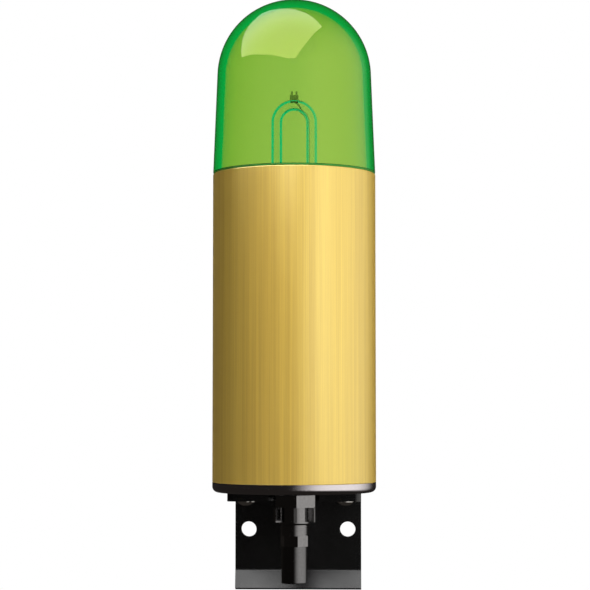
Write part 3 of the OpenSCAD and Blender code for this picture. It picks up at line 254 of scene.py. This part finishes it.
looks = {
    "green_dome": clearPlastic(
        "greenDome", (1.0, 1.0, 1.0), 396.0, (0.557, 0.760, 0.0), 0.0002, (0.0, 0.015)),
    "tube_glass": clearPlastic(
        "tubeGlass", (1.0, 1.0, 1.0), 60.0, (0.5, 0.7, 0.6), 0.00003, (0.0, 0.01), ior=1.47),
    "gold_tube": finish(
        "goldAnodised", (0.73, 0.45, 0.075), (1.0, 0.70, 0.135), (0.285, 0.305), depth=0.000012,
        brushed={"Across": 2400.0, "Along": 12.0},
        fixed=steady(IOR=2.6, Specular_Tint=(0.96, 0.93, 0.48, 1))),
    "black_cap": finish(
        "blackAnodised", (0.48, 0.45, 0.46), (0.55, 0.52, 0.53), (0.14, 0.19), grain=2600.0,
        depth=0.000005, fixed=steady(Metallic=1.0)),
    "black_bracket": finish(
        "powderCoat", (0.003, 0.003, 0.003), (0.006, 0.006, 0.006), (0.20, 0.26), grain=2200.0,
        depth=0.00001, fixed=steady(Specular_IOR_Level=0.42)),
    "gland_black": finish(
        "blackPlating", (0.145, 0.143, 0.143), (0.19, 0.188, 0.188), (0.12, 0.17), grain=1500.0,
        depth=0.000005, fixed=steady(Metallic=1.0)),
    "sleeve_rubber": finish(
        "sleeveRubber", (0.10, 0.10, 0.10), (0.14, 0.14, 0.14), (0.12, 0.17), grain=1700.0,
        depth=0.000005, fixed=steady(Metallic=1.0)),
    "black_sheath": finish(
        "leadSheath", (0.014, 0.014, 0.014), (0.024, 0.024, 0.024), (0.45, 0.6), grain=1600.0),
    "black_rubber": finish(
        "blackRubber", (0.012, 0.012, 0.012), (0.022, 0.022, 0.022), (0.5, 0.65), grain=1800.0),
    "clear_gasket": finish(
        "greenGasket", (0.030, 0.25, 0.024), (0.045, 0.31, 0.034), (0.4, 0.5), grain=1500.0),
    "plain_aluminium": finish(
        "turnedAluminium", (0.70, 0.71, 0.73), (0.84, 0.84, 0.86), (0.28, 0.42), depth=0.00001,
        brushed={"Across": 60.0, "Along": 2600.0}, fixed=steady(Metallic=1.0)),
    "bright_screw": finish(
        "brightPlating", (0.78, 0.76, 0.72), (0.90, 0.88, 0.84), (0.14, 0.24), grain=2400.0,
        depth=0.00001, fixed=steady(Metallic=1.0)),
    "white_reflector": finish(
        "whiteReflector", (0.78, 0.79, 0.80), (0.84, 0.85, 0.86), (0.14, 0.22), grain=700.0,
        depth=0.00001, fixed=steady(Coat_Weight=0.4)),
    "electrode_metal": finish(
        "drawnNickel", (0.38, 0.40, 0.38), (0.48, 0.50, 0.48), (0.25, 0.35), depth=0.00001,
        brushed={"Across": 5000.0, "Along": 90.0}, fixed=steady(Metallic=0.4)),
    "white_ceramic": finish(
        "glazedCeramic", (0.76, 0.75, 0.70), (0.85, 0.84, 0.79), (0.12, 0.25), grain=500.0,
        depth=0.00002, fixed=steady(Coat_Weight=0.5)),
    "tinned_brass": finish(
        "tinnedBrass", (0.62, 0.54, 0.33), (0.80, 0.74, 0.54), (0.22, 0.36), grain=2600.0,
        fixed=steady(Metallic=1.0)),
    "board": finish(
        "lacqueredBoard", (0.012, 0.085, 0.035), (0.030, 0.150, 0.065), (0.18, 0.30), grain=1300.0,
        fixed=steady(Coat_Weight=0.3)),
    "wound_wire": finish(
        "enamelledWire", (0.36, 0.13, 0.035), (0.62, 0.28, 0.09), (0.22, 0.35), depth=0.00008,
        brushed={"Across": 40.0, "Along": 4200.0}, fixed=steady(Metallic=0.8)),
    "orange_film": finish(
        "dippedCoating", (0.52, 0.13, 0.02), (0.66, 0.20, 0.04), (0.12, 0.22), grain=350.0,
        depth=0.0001, fixed=steady(Coat_Weight=0.6)),
    "white_plastic": finish(
        "whiteNylon", (0.66, 0.66, 0.60), (0.76, 0.76, 0.71), (0.38, 0.5), grain=1100.0),
    "capacitor_sleeve": finish(
        "shrunkSleeve", (0.010, 0.014, 0.045), (0.020, 0.026, 0.075), (0.16, 0.28), grain=400.0,
        depth=0.00005),
    "grey_ferrite": finish(
        "groundFerrite", (0.050, 0.050, 0.055), (0.090, 0.090, 0.095), (0.45, 0.6), grain=2800.0,
        depth=0.00005),
    "black_plastic": finish(
        "blackMoulding", (0.014, 0.014, 0.015), (0.024, 0.024, 0.026), (0.4, 0.55), grain=1900.0,
        depth=0.00004),
    "resistor_body": finish(
        "resistorLacquer", (0.40, 0.28, 0.13), (0.52, 0.39, 0.19), (0.2, 0.32), grain=900.0),
    "green_plastic": finish(
        "greenMoulding", (0.018, 0.13, 0.038), (0.030, 0.18, 0.055), (0.35, 0.48), grain=1500.0,
        depth=0.00003),
    "brown_core": finish(
        "brownInsulation", (0.09, 0.032, 0.012), (0.15, 0.055, 0.022), (0.3, 0.42), grain=1200.0),
    "blue_core": finish(
        "blueInsulation", (0.012, 0.045, 0.28), (0.022, 0.075, 0.40), (0.3, 0.42), grain=1200.0),
    "green_core": finish(
        "greenInsulation", (0.030, 0.19, 0.012), (0.30, 0.40, 0.03), (0.3, 0.42), grain=260.0),
    "red_wire": finish(
        "redInsulation", (0.30, 0.010, 0.006), (0.44, 0.020, 0.012), (0.3, 0.42), grain=1200.0),
}
print("finishes made:", len(looks))


def slotOf(node):
    return next(s["material_slot"] for s in frame["record"]["subparts"] if s["node"] == node)


def bodyOf(node):
    return next(b for b, nodes in frame["record"]["behaviour"]["bodies"].items() if node in nodes)


# Every carried-over solid gets its finish in all of its slots
for nodeName, nodeObject in frame["nodes"].items():
    finishHere = looks[slotOf(nodeName)]
    if not nodeObject.data.materials:
        nodeObject.data.materials.append(finishHere)
    for place in nodeObject.material_slots:
        place.material = finishHere


# Turns a grid of points, rows by columns, into quads. A wrapped side joins its last line to its first.
def gridFaces(rows, columns, wrapRows, wrapColumns):
    index = np.arange(rows * columns).reshape(rows, columns)
    if wrapRows:
        index = np.vstack([index, index[:1]])
    if wrapColumns:
        index = np.hstack([index, index[:, :1]])
    return np.stack([index[:-1, :-1], index[1:, :-1], index[1:, 1:], index[:-1, 1:]], -1).reshape(-1, 4)


# Makes a closed mesh from a grid, with poles and seams merged and faces turned outwards
def gridPiece(name, grid, wrapRows=False, wrapColumns=True, capEnds=False, sharp=35):
    rows, columns = grid.shape[:2]
    faces = gridFaces(rows, columns, wrapRows, wrapColumns)
    mesh = bpy.data.meshes.new(name)
    polygons = faces.tolist()
    if capEnds:
        polygons += [list(range(columns))[::-1], list(range((rows - 1) * columns, rows * columns))]
    mesh.from_pydata(grid.reshape(-1, 3).tolist(), [], polygons)
    return settled(name, mesh, sharp)


def settled(name, mesh, sharp):
    work = bmesh.new()
    work.from_mesh(mesh)
    bmesh.ops.remove_doubles(work, verts=work.verts, dist=1e-7)
    bmesh.ops.dissolve_degenerate(work, edges=work.edges, dist=1e-8)
    bmesh.ops.recalc_face_normals(work, faces=work.faces)
    work.to_mesh(mesh)
    work.free()
    mesh.shade_smooth()
    mesh.set_sharp_from_angle(angle=math.radians(sharp))
    piece = bpy.data.objects.new(name, mesh)
    scene.collection.objects.link(piece)
    return piece


# Gives a piece its finish and its body, and hides the node that it stands for
def fit(piece, node, look=None):
    piece.data.materials.clear()
    piece.data.materials.append(look or looks[slotOf(node)])
    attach(piece, bodyOf(node))
    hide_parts(node)
    return piece


# Circle through each profile point round the lamp's axis: x = r cos a, y = r sin a, z as given
def turned(profile, steps=256):
    angle = np.linspace(0, 2 * np.pi, steps, endpoint=False)
    radius, height = profile[:, :1], profile[:, 1:]
    return np.stack([
        lamp["x"] + radius * np.cos(angle),
        lamp["y"] + radius * np.sin(angle),
        np.broadcast_to(height, (len(profile), steps)),
    ], -1)


# Rounds every corner of a closed outline: a corner becomes the quadratic curve that leaves one side
# and joins the next at the corner's own radius, or less where a side is short
def softened(outline, radii, steps=5):
    points = np.asarray(outline, float)
    radii = np.broadcast_to(np.asarray(radii, float), len(points))
    before, after = np.roll(points, 1, 0) - points, np.roll(points, -1, 0) - points
    lengthBefore, lengthAfter = np.linalg.norm(before, axis=1), np.linalg.norm(after, axis=1)
    reach = np.minimum(radii, 0.45 * np.minimum(lengthBefore, lengthAfter))[:, None]
    start = points + before / lengthBefore[:, None] * reach
    end = points + after / lengthAfter[:, None] * reach
    t = np.linspace(0, 1, steps)[None, :, None]
    curve = (1 - t) ** 2 * start[:, None] + 2 * t * (1 - t) * points[:, None] + t ** 2 * end[:, None]
    return curve.reshape(-1, 2)


domePlan = {
    "wall": 3.5 * mm,
    "taper": 1.75 * mm,        # how much narrower the round top is than the foot
    "centre": 41.9 * mm,       # centre of the round top above the foot
    "step": 1.6 * mm,          # the step under the foot that fills the tube's rim
    "stepRadius": 32.4 * mm,
    "neckRadius": 30.02 * mm,
    "neckWall": 3.0 * mm,
    "grooveRadius": 28.68 * mm,
    "pitch": 3.0 * mm,
    "threadDepth": 0.5 * mm,
    "footGap": 0.85 * mm,      # height of the dome's foot above the tube's rim
    "inset": 0.05 * mm,        # how far the foot stays inside the tube's outline
    "footRound": 0.5 * mm,
    "grooveFrom": 4.15 * mm,   # the O-ring's groove, measured down from the foot
    "grooveTo": 2.25 * mm,
    "neckRound": 0.6 * mm,
    "threadEnd": 0.4 * mm,     # plain stretch between the thread and the groove
    "threadStart": 0.7 * mm,   # plain stretch under the thread
    "threadSteps": 72,
    "roundSteps": 256,
    "capSteps": 72,
    "wallSteps": 8,
}


# A slightly conical wall that meets a ball: the slope is the one whose line touches the ball
def domeWall(footRadius, ballRadius, foot, plan):
    centre = plan["centre"]
    slope = math.acos(ballRadius / math.hypot(footRadius, centre)) - math.atan2(centre, footRadius)
    around = np.linspace(slope, np.pi / 2, plan["capSteps"])
    cap = np.stack([ballRadius * np.cos(around), foot + centre + ballRadius * np.sin(around)], -1)
    t = np.linspace(0, 1, plan["wallSteps"], endpoint=False)[:, None]
    start = np.array([footRadius, foot])
    return np.vstack([start + t * (cap[0] - start), cap])


def makeDome(plan):
    bottom = corners("dome_lens")[0][2]
    foot = lamp["rim"] + plan["footGap"]
    ballRadius = lamp["radius"] - plan["taper"]
    neckRadius, grooveRadius, stepRadius = plan["neckRadius"], plan["grooveRadius"], plan["stepRadius"]
    grooveLow, grooveHigh = foot - plan["grooveFrom"], foot - plan["grooveTo"]
    roundSteps, threadSteps, neckRound = plan["roundSteps"], plan["threadSteps"], plan["neckRound"]
    outer = domeWall(lamp["radius"] - plan["inset"], ballRadius, foot, plan)
    inner = domeWall(lamp["radius"] - plan["wall"], ballRadius - plan["wall"], foot, plan)[::-1]
    bore = neckRadius - plan["neckWall"]
    underside = np.array([
        [bore, foot], [bore, bottom], [neckRadius - neckRound, bottom],
        [neckRadius, bottom + neckRound]])
    threadTop = grooveLow - plan["threadEnd"]
    threadHeights = np.linspace(bottom + plan["threadStart"], threadTop, threadSteps)
    thread = np.stack([np.full(threadSteps, neckRadius), threadHeights], -1)
    collar = np.array([
        [neckRadius, grooveLow], [grooveRadius, grooveLow], [grooveRadius, grooveHigh],
        [neckRadius, grooveHigh], [neckRadius, foot - plan["step"]],
        [stepRadius, foot - plan["step"]], [stepRadius, foot],
        [lamp["radius"] - plan["footRound"], foot]])
    profile = np.vstack([inner, underside, thread, collar, outer])
    grid = turned(profile, roundSteps)
    # Thread: the radius dips as a raised cosine of height less one pitch for each turn
    angle = np.linspace(0, 2 * np.pi, roundSteps, endpoint=False)
    first = len(inner) + len(underside)
    rows = slice(first, first + threadSteps)
    phase = 2 * np.pi * threadHeights[:, None] / plan["pitch"] - angle
    fade = np.clip(np.minimum(threadHeights - threadHeights[0], threadTop - threadHeights) / mm, 0, 1)
    dip = plan["threadDepth"] * (0.5 - 0.5 * np.cos(phase)) ** 0.7 * fade[:, None]
    radius = neckRadius - dip
    grid[rows, :, 0] = lamp["x"] + radius * np.cos(angle)
    grid[rows, :, 1] = lamp["y"] + radius * np.sin(angle)
    return fit(gridPiece("dome", grid, sharp=40), "dome_lens")


makeDome(domePlan)


tubePlan = {
    "bore": 31.5 * mm,
    "seat": 32.5 * mm,
    "seatDepth": 17.0 * mm,
    "edge": 0.45 * mm,         # softening of the two outer edges
    "steps": 384,
}


def makeTube(plan):
    outline = [
        [lamp["radius"], lamp["foot"]], [lamp["radius"], lamp["rim"]], [plan["seat"], lamp["rim"]],
        [plan["seat"], lamp["rim"] - plan["seatDepth"]],
        [plan["bore"], lamp["rim"] - plan["seatDepth"]], [plan["bore"], lamp["foot"]]]
    edges = np.array([1.0, 1.0, 0.4, 0.2, 0.4, 0.6]) * plan["edge"]
    profile = softened(outline, edges)
    return fit(gridPiece("gold_tube", turned(profile, plan["steps"]), wrapRows=True), "housing_tube")


makeTube(tubePlan)


def makeGasket():
    low, high = corners("dome_gasket")
    outer = high[0] - lamp["x"]
    inner = tubePlan["seat"] + 0.1 * mm
    outline = [[inner, low[2]], [outer, low[2]], [outer, high[2]], [inner, high[2]]]
    profile = softened(outline, 0.35 * mm)
    return fit(gridPiece("gasket", turned(profile), wrapRows=True), "dome_gasket")


makeGasket()


glassPlan = {
    "wall": 1.1 * mm,
    "sides": 40,
    "bendSteps": 72,
}


# Path of the U: up one leg, half a circle over, down the other. Gives points and the across direction
def uPath(bottom, bend, legX, steps):
    around = np.linspace(np.pi, 0, steps)
    centre = np.array([lamp["x"], lamp["y"], bend])
    arc = centre + legX * np.stack([np.cos(around), np.zeros_like(around), np.sin(around)], -1)
    across = np.stack([np.cos(around), np.zeros_like(around), np.sin(around)], -1)
    rise = np.linspace(0, 1, 10, endpoint=False)[:, None]
    left = np.array([arc[0, 0], lamp["y"], bottom]) * (1 - rise) + arc[0] * rise
    right = np.array([arc[-1, 0], lamp["y"], bottom]) * (1 - rise) + arc[-1] * rise
    points = np.vstack([left, arc, right[::-1]])
    across = np.vstack([np.tile(across[0], (10, 1)), across, np.tile(across[-1], (10, 1))])
    return points, across


# Ring at each path point: centre + r (cos a times the across direction + sin a times Y)
def carried(points, across, radius, sides):
    angle = np.linspace(0, 2 * np.pi, sides, endpoint=False)[None, :, None]
    depth = np.array([0.0, 1.0, 0.0])
    return points[:, None] + radius * (np.cos(angle) * across[:, None] + np.sin(angle) * depth)


def makeFlashTube(plan):
    low, high = corners("flash_tube")
    radius = (high[1] - low[1]) / 2
    legX = (high[0] - low[0]) / 2 - radius
    points, across = uPath(low[2], high[2] - radius - legX, legX, plan["bendSteps"])
    outer = carried(points, across, radius, plan["sides"])
    inner = carried(points, across, radius - plan["wall"], plan["sides"])
    grid = np.concatenate([outer, inner[::-1]])
    return fit(gridPiece("flash_glass", grid, wrapRows=True, sharp=60), "flash_tube")


makeFlashTube(glassPlan)
print("dome, tube, gasket and flash tube made")


stagePlan = {
    "floorDrop": 4 * mm,
    "floorSize": 12.0,
    "floorColour": (0.86, 0.86, 0.86, 1),
}


def makeFloor(plan):
    low = min(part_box(name)[0].z for name in frame["nodes"])
    size = plan["floorSize"]
    mesh = bpy.data.meshes.new("floor")
    mesh.from_pydata([(-size, -size, 0), (size, -size, 0), (size, size, 0), (-size, size, 0)], [],
                     [(0, 1, 2, 3)])
    floor = bpy.data.objects.new("floor", mesh)
    floor.location.z = low - plan["floorDrop"]
    scene.collection.objects.link(floor)
    material, tree = emptyMaterial("paleFloor")
    path = addNode(tree, "ShaderNodeLightPath")
    # Reflections look through the floor to the world's dark lower half
    plain = addNode(tree, "ShaderNodeMixShader", {
        0: path.outputs["Is Glossy Ray"],
        1: addNode(tree, "ShaderNodeBsdfDiffuse", {"Color": plan["floorColour"]}).outputs[0],
        2: addNode(tree, "ShaderNodeBsdfTransparent").outputs[0]})
    white = addNode(tree, "ShaderNodeEmission", {"Color": (1, 1, 1, 1), "Strength": 1.0})
    mixed = addNode(tree, "ShaderNodeMixShader", {
        0: path.outputs["Is Camera Ray"], 1: plain.outputs[0], 2: white.outputs[0]})
    addNode(tree, "ShaderNodeOutputMaterial", {"Surface": mixed.outputs[0]})
    mesh.materials.append(material)


# What each kind of ray meets outside the object. Directions: X right, Y away from the camera, Z up
worldPlan = {
    "seen": (1.0, 1.0, 1.0, 1),
    "through": (1.0, 1.0, 1.0, 1),
    "deflected": (0.001, 1.05, 2.2, 1),    # for light that bounced inside a clear wall
    "fill": (0.045, 0.043, 0.042, 1),
    "brightSide": (0.951, -0.309, 0.0),    # middle of the bright side in reflections
    "glossyDark": (0.024, 0.021, 0.019, 1),
    "glossyBright": (1.5, 1.46, 1.43, 1),
    "panelNear": 5.6,                      # brightness of the overhead panel, front and back
    "panelFar": 2.2,
    "panelFloor": (0.30, 0.31),            # the panel shows in no direction lower than this
    "panelEdge": (0.004, 0.016),           # softness of its other edges
    "panelDepth": (-0.1, 0.6),             # where it passes from its front to its back brightness
    "sideSpread": (0.25, 1.0),             # from the bright side's edge to its middle
    "sideFloor": (-0.65, -0.25),           # the bright side fades out below this
    "panelSides": (                        # directions inwards from its four sides
        (0.319, 0.236, 0.918), (-0.860, 0.093, 0.502), (-0.577, -0.771, 0.271),
        (0.281, -0.722, 0.632)),
}


def calculated(tree, operation, first, second):
    return addNode(tree, "ShaderNodeMath", {0: first, 1: second}, operation=operation).outputs[0]


# Smooth step of a value between two ends, from one result to another
def stepped(tree, value, start, end, low=0.0, high=1.0):
    return addNode(tree, "ShaderNodeMapRange", {
        "Value": value, "From Min": start, "From Max": end, "To Min": low, "To Max": high},
        interpolation_type="SMOOTHSTEP").outputs[0]


def along(tree, direction, toward):
    return addNode(tree, "ShaderNodeVectorMath", {0: direction, 1: toward},
                   operation="DOT_PRODUCT").outputs["Value"]


def mixedColour(tree, factor, first, second):
    return addNode(tree, "ShaderNodeMix", {"Factor": factor, 6: first, 7: second},
                   data_type="RGBA").outputs[2]


# Reflections: dark, but for a bright side on the right and a four-sided panel overhead
def reflected(tree, plan):
    direction = addNode(tree, "ShaderNodeTexCoord").outputs["Generated"]
    parts = addNode(tree, "ShaderNodeSeparateXYZ", {0: direction})
    facing = along(tree, direction, plan["brightSide"])
    side = calculated(
        tree, "MULTIPLY", stepped(tree, facing, *plan["sideSpread"]),
        stepped(tree, parts.outputs["Z"], *plan["sideFloor"]))
    colour = mixedColour(tree, side, plan["glossyDark"], plan["glossyBright"])
    strength = stepped(
        tree, parts.outputs["Y"], *plan["panelDepth"], plan["panelNear"], plan["panelFar"])
    panel = addNode(tree, "ShaderNodeCombineXYZ", {0: strength, 1: strength, 2: strength}).outputs[0]
    mask = stepped(tree, parts.outputs["Z"], *plan["panelFloor"])
    for inwards in plan["panelSides"]:
        inside = stepped(tree, along(tree, direction, inwards), *plan["panelEdge"])
        mask = calculated(tree, "MULTIPLY", mask, inside)
    return mixedColour(tree, mask, colour, panel)


def makeWorld(plan):
    world = bpy.data.worlds.new("studio")
    world.use_nodes = True
    tree = world.node_tree
    tree.nodes.clear()
    path = addNode(tree, "ShaderNodeLightPath")
    # A clear ray crosses the dome's wall four times, or eight with the flash tube's bore
    turns = calculated(tree, "MODULO", path.outputs["Transmission Depth"], 4.0)
    bounced = calculated(tree, "GREATER_THAN", turns, 1.5)
    through = mixedColour(tree, bounced, plan["through"], plan["deflected"])
    first = mixedColour(tree, path.outputs["Is Glossy Ray"], plan["fill"], reflected(tree, plan))
    second = mixedColour(tree, path.outputs["Is Transmission Ray"], first, through)
    third = mixedColour(tree, path.outputs["Is Camera Ray"], second, plan["seen"])
    background = addNode(tree, "ShaderNodeBackground", {"Color": third, "Strength": 1.0})
    addNode(tree, "ShaderNodeOutputWorld", {"Surface": background.outputs[0]})
    scene.world = world


# Each lamp is a soft box: where it stands from the lamp's middle, its size and its brightness.
# Reflections come from the world, so the soft boxes don't show in them
lampPlans = {
    "key": {"azimuth": 36, "height": 0.10, "distance": 0.9, "size": (0.6, 1.1), "bright": 3.9},
    "overhead": {"azimuth": -25, "height": 0.75, "distance": 0.25, "size": (0.7, 0.7), "bright": 1.0},
    "behind": {"azimuth": 205, "height": 0.25, "distance": 1.0, "size": (0.9, 0.9), "bright": 1.2},
}


def makeLamp(name, plan):
    data = bpy.data.lights.new(name, "AREA")
    data.shape = "RECTANGLE"
    data.size, data.size_y = plan["size"]
    data.energy = plan["bright"] * math.pi * plan["size"][0] * plan["size"][1]
    turn = math.radians(plan["azimuth"])
    middle = np.array([lamp["x"], lamp["y"], (lamp["foot"] + lamp["rim"]) / 2])
    spot = middle + np.array([
        plan["distance"] * math.sin(turn), -plan["distance"] * math.cos(turn), plan["height"]])
    light = bpy.data.objects.new(name, data)
    light.location = spot
    toward = middle - spot
    light.rotation_euler = (
        math.pi / 2 + math.atan2(toward[2], math.hypot(toward[0], toward[1])), 0,
        math.atan2(-toward[0], toward[1]))
    light.visible_glossy = False
    light.visible_transmission = False
    scene.collection.objects.link(light)


makeFloor(stagePlan)
makeWorld(worldPlan)
for lampName, lampPlan in lampPlans.items():
    makeLamp(lampName, lampPlan)
scene.view_settings.view_transform = "Standard"
print("stage made")
